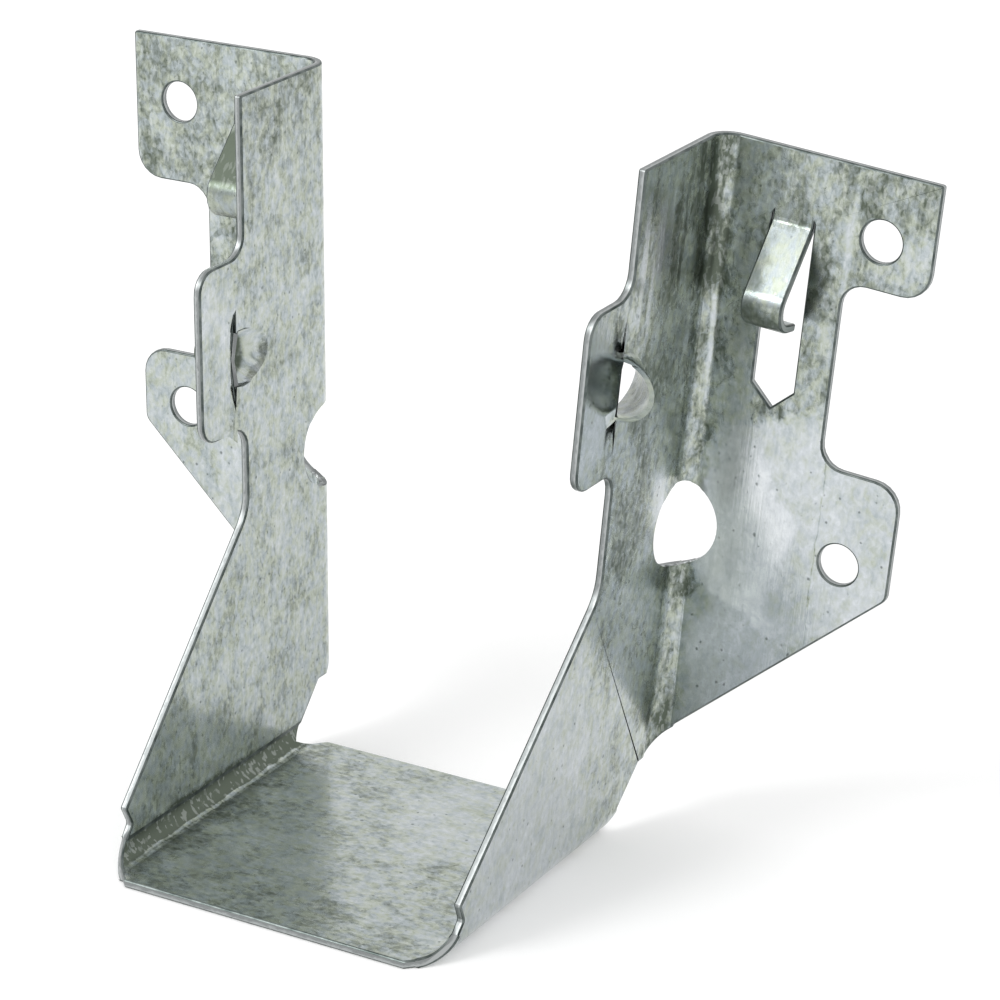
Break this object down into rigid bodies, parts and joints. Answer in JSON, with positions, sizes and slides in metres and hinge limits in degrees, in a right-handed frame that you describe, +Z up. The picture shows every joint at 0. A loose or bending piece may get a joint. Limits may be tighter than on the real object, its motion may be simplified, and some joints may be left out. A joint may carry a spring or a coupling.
{
  "type": "joist hanger",
  "caption": "Face-mount joist hanger folded from galvanised sheet: a U-shaped stirrup with outward nailing flanges, spring prongs and slant-nail domes.",
  "frame": {"origin": "middle of the seat's underside", "axes": "+X to the hanger's right seen from the open front, +Y from the front to the supporting face, +Z up"},
  "size_m": [0.0969, 0.0465, 0.078],
  "materials": {
    "galvanised_sheet": "hot-dip galvanised, mottled matt spangle"
  },
  "bodies": {
    "root": {"hanger": "galvanised_sheet"}
  },
  "joints": []
}
